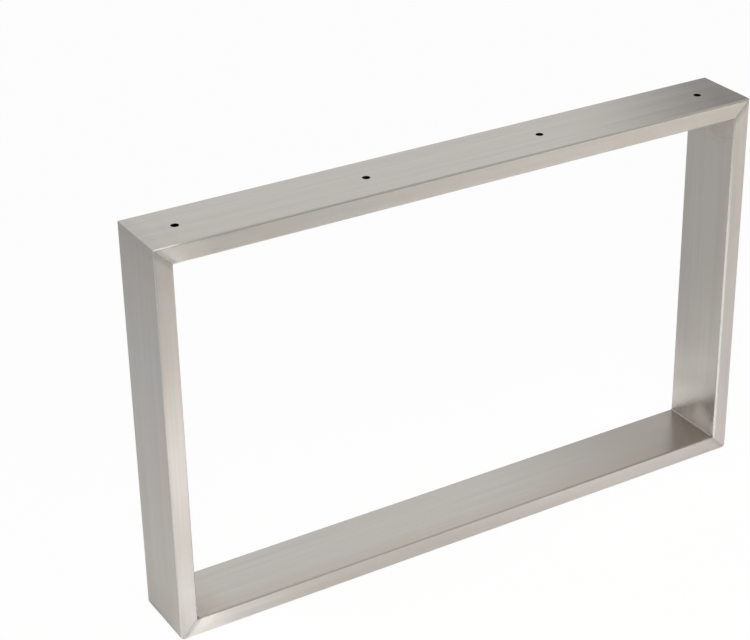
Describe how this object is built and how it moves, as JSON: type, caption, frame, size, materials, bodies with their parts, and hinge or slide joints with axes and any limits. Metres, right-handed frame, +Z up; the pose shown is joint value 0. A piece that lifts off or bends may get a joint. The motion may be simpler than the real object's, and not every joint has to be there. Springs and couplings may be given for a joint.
{
  "type": "table base",
  "caption": "Upright rectangular table base frame of brushed steel flat tube with mitred, welded corners and screw holes in its top rail for fixing under a table top.",
  "frame": {"origin": "on the floor, under the middle of the bottom rail", "axes": "+X along the frame, +Y across it from the front face to the back face, +Z up towards the table top"},
  "size_m": [0.72, 0.08, 0.445],
  "materials": {
    "rail_steel": "satin, brushed along X",
    "upright_steel": "satin, brushed along Z",
    "weld_steel": "satin, brushed weld metal"
  },
  "bodies": {
    "root": {"top_rail": "rail_steel", "bottom_rail": "rail_steel", "left_upright": "upright_steel", "right_upright": "upright_steel", "weld_top_left": "weld_steel", "weld_top_right": "weld_steel", "weld_bottom_left": "weld_steel", "weld_bottom_right": "weld_steel"}
  },
  "joints": []
}
